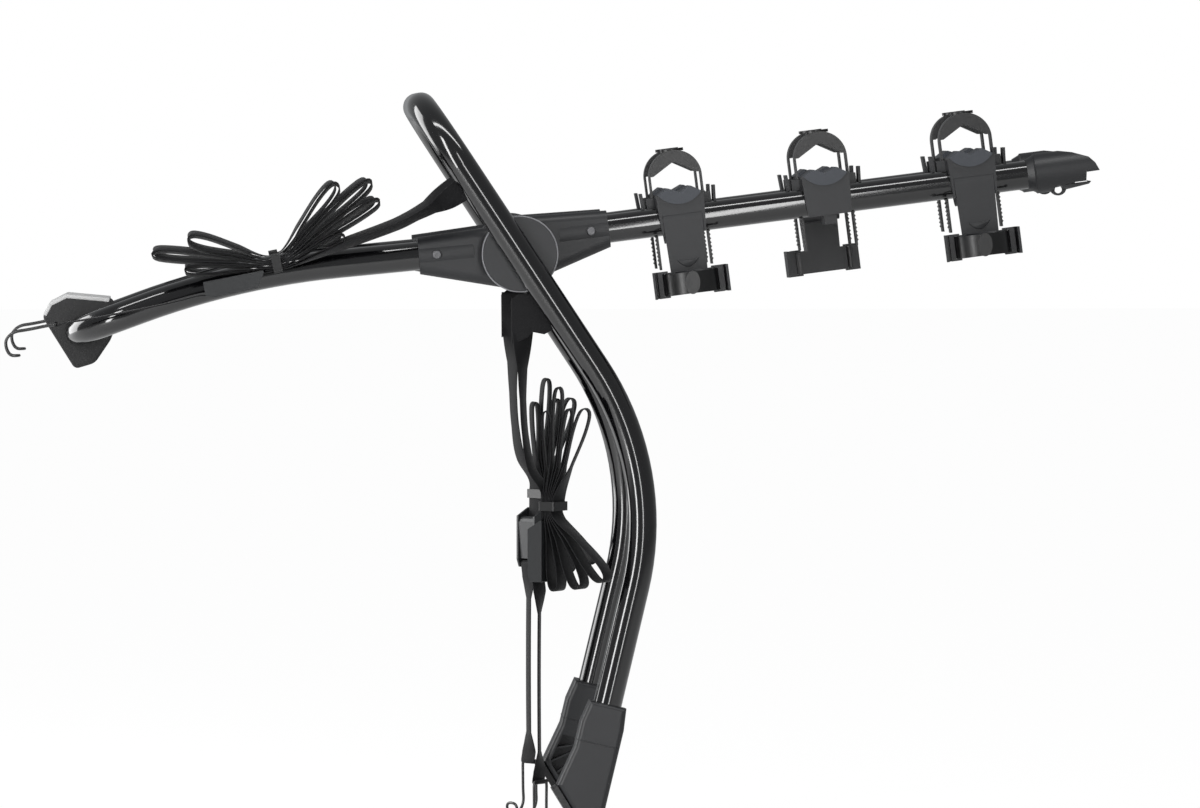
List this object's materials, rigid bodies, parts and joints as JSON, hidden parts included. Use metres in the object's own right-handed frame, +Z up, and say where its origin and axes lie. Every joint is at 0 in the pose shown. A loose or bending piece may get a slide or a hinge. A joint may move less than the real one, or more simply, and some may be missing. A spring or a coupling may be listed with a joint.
{
  "type": "trunk mounted bike rack",
  "caption": "Folding trunk mounted bike rack with tubular frames, strapped cradles, anti-sway legs, foam pads and webbing straps with hooks.",
  "frame": {"origin": "middle of the hub axle, halfway between the two hoop legs", "axes": "+X away from the vehicle along the bike arms' side, +Y to the far side along the hub axle, +Z up"},
  "size_m": [1.2183, 0.4478, 0.8396],
  "materials": {
    "black_tube": "gloss powder coat",
    "hub_plastic": "fine moulded texture",
    "soft_insert": "matt",
    "strap_rubber": "satin",
    "black_foam": "matt skinned foam",
    "webbing": "woven",
    "buckle_metal": "satin",
    "hook_wire": "dipped",
    "bright_steel": "satin"
  },
  "bodies": {
    "base_frame": {"main_hoop": "black_tube", "hub_core_near": "hub_plastic", "hub_core_far": "hub_plastic", "hub_axle": "bright_steel", "foot_near": "hub_plastic", "foot_far": "hub_plastic", "foot_soles": "strap_rubber", "strap_rivets": "bright_steel", "lower_straps": "webbing", "lower_hank_near": "webbing", "lower_hank_far": "webbing", "lower_buckle_near": "buckle_metal", "lower_buckle_far": "buckle_metal", "lower_leads": "webbing", "lower_hooks": "hook_wire", "lower_ties": "strap_rubber"},
    "front_frame": {"front_hoop": "black_tube", "front_knuckle_near": "hub_plastic", "front_knuckle_far": "hub_plastic", "front_screws": "bright_steel", "trunk_pads": "black_foam", "upper_straps": "webbing", "upper_hank_near": "webbing", "upper_hank_far": "webbing", "upper_buckle_near": "buckle_metal", "upper_buckle_far": "buckle_metal", "upper_leads": "webbing", "upper_hooks": "hook_wire", "upper_ties": "strap_rubber"},
    "bike_arms": {"arm_near": "black_tube", "arm_far": "black_tube", "arm_knuckle_near": "hub_plastic", "arm_knuckle_far": "hub_plastic", "arm_cross_tube": "black_tube", "arm_screws": "bright_steel", "end_cap_near": "hub_plastic", "end_cap_far": "hub_plastic", "saddle_pads": "soft_insert", "cradle_near_1": "hub_plastic", "cradle_near_2": "hub_plastic", "cradle_near_3": "hub_plastic", "cradle_far_1": "hub_plastic", "cradle_far_2": "hub_plastic", "cradle_far_3": "hub_plastic"},
    "sway_leg_near_1": {"sway_leg_near_1": "hub_plastic"},
    "sway_strap_near_1": {"sway_strap_near_1": "strap_rubber"},
    "sway_leg_near_3": {"sway_leg_near_3": "hub_plastic"},
    "sway_strap_near_3": {"sway_strap_near_3": "strap_rubber"},
    "sway_leg_far_2": {"sway_leg_far_2": "hub_plastic"},
    "sway_strap_far_2": {"sway_strap_far_2": "strap_rubber"},
    "cradle_strap_near_1": {"cradle_strap_near_1": "strap_rubber"},
    "cradle_strap_near_2": {"cradle_strap_near_2": "strap_rubber"},
    "cradle_strap_near_3": {"cradle_strap_near_3": "strap_rubber"},
    "cradle_strap_far_1": {"cradle_strap_far_1": "strap_rubber"},
    "cradle_strap_far_2": {"cradle_strap_far_2": "strap_rubber"},
    "cradle_strap_far_3": {"cradle_strap_far_3": "strap_rubber"},
    "upper_lever_near": {"upper_lever_near": "buckle_metal"},
    "upper_lever_far": {"upper_lever_far": "buckle_metal"},
    "lower_lever_near": {"lower_lever_near": "buckle_metal"},
    "lower_lever_far": {"lower_lever_far": "buckle_metal"}
  },
  "joints": [
    {"name": "arms_fold", "type": "hinge", "parent": "base_frame", "child": "bike_arms", "pos_m": [0, 0, 0], "axis": [0, 1, 0], "range_deg": [0, 60]},
    {"name": "front_fold", "type": "hinge", "parent": "base_frame", "child": "front_frame", "pos_m": [0, 0, 0], "axis": [0, 1, 0], "range_deg": [-65, 5]},
    {"name": "sway_leg_near_1_swing", "type": "hinge", "parent": "bike_arms", "child": "sway_leg_near_1", "pos_m": [0.18371, -0.082, 0.03765], "axis": [-0.9919, 0, -0.1271], "range_deg": [-3, 6]},
    {"name": "sway_strap_near_1_slide", "type": "slide", "parent": "sway_leg_near_1", "child": "sway_strap_near_1", "axis": [0, -1, 0], "range_m": [-0.003, 0.005]},
    {"name": "sway_leg_near_3_swing", "type": "hinge", "parent": "bike_arms", "child": "sway_leg_near_3", "pos_m": [0.50905, -0.082, 0.07933], "axis": [-0.9919, 0, -0.1271], "range_deg": [-3, 6]},
    {"name": "sway_strap_near_3_slide", "type": "slide", "parent": "sway_leg_near_3", "child": "sway_strap_near_3", "axis": [0, -1, 0], "range_m": [-0.003, 0.005]},
    {"name": "sway_leg_far_2_swing", "type": "hinge", "parent": "bike_arms", "child": "sway_leg_far_2", "pos_m": [0.34638, 0.082, 0.05849], "axis": [0.9919, 0, 0.1271], "range_deg": [-3, 6]},
    {"name": "sway_strap_far_2_slide", "type": "slide", "parent": "sway_leg_far_2", "child": "sway_strap_far_2", "axis": [0, 1, 0], "range_m": [-0.003, 0.005]},
    {"name": "cradle_strap_near_1_slide", "type": "slide", "parent": "bike_arms", "child": "cradle_strap_near_1", "axis": [-0.1271, 0, 0.9919], "range_m": [-0.003, 0.02]},
    {"name": "cradle_strap_near_2_slide", "type": "slide", "parent": "bike_arms", "child": "cradle_strap_near_2", "axis": [-0.1271, 0, 0.9919], "range_m": [-0.003, 0.02]},
    {"name": "cradle_strap_near_3_slide", "type": "slide", "parent": "bike_arms", "child": "cradle_strap_near_3", "axis": [-0.1271, 0, 0.9919], "range_m": [-0.003, 0.02]},
    {"name": "cradle_strap_far_1_slide", "type": "slide", "parent": "bike_arms", "child": "cradle_strap_far_1", "axis": [-0.1271, 0, 0.9919], "range_m": [-0.003, 0.02]},
    {"name": "cradle_strap_far_2_slide", "type": "slide", "parent": "bike_arms", "child": "cradle_strap_far_2", "axis": [-0.1271, 0, 0.9919], "range_m": [-0.003, 0.02]},
    {"name": "cradle_strap_far_3_slide", "type": "slide", "parent": "bike_arms", "child": "cradle_strap_far_3", "axis": [-0.1271, 0, 0.9919], "range_m": [-0.003, 0.02]},
    {"name": "upper_lever_near_tilt", "type": "hinge", "parent": "front_frame", "child": "upper_lever_near", "pos_m": [-0.29756, -0.157, -0.03141], "axis": [0, -1, 0], "range_deg": [0, 30]},
    {"name": "upper_lever_far_tilt", "type": "hinge", "parent": "front_frame", "child": "upper_lever_far", "pos_m": [-0.29756, 0.157, -0.03141], "axis": [0, -1, 0], "range_deg": [0, 30]},
    {"name": "lower_lever_near_tilt", "type": "hinge", "parent": "base_frame", "child": "lower_lever_near", "pos_m": [0.02391, -0.16374, -0.311], "axis": [0.5736, 0.8192, 0], "range_deg": [0, 30]},
    {"name": "lower_lever_far_tilt", "type": "hinge", "parent": "base_frame", "child": "lower_lever_far", "pos_m": [0.02391, 0.16374, -0.311], "axis": [-0.5736, 0.8192, 0], "range_deg": [0, 30]}
  ]
}
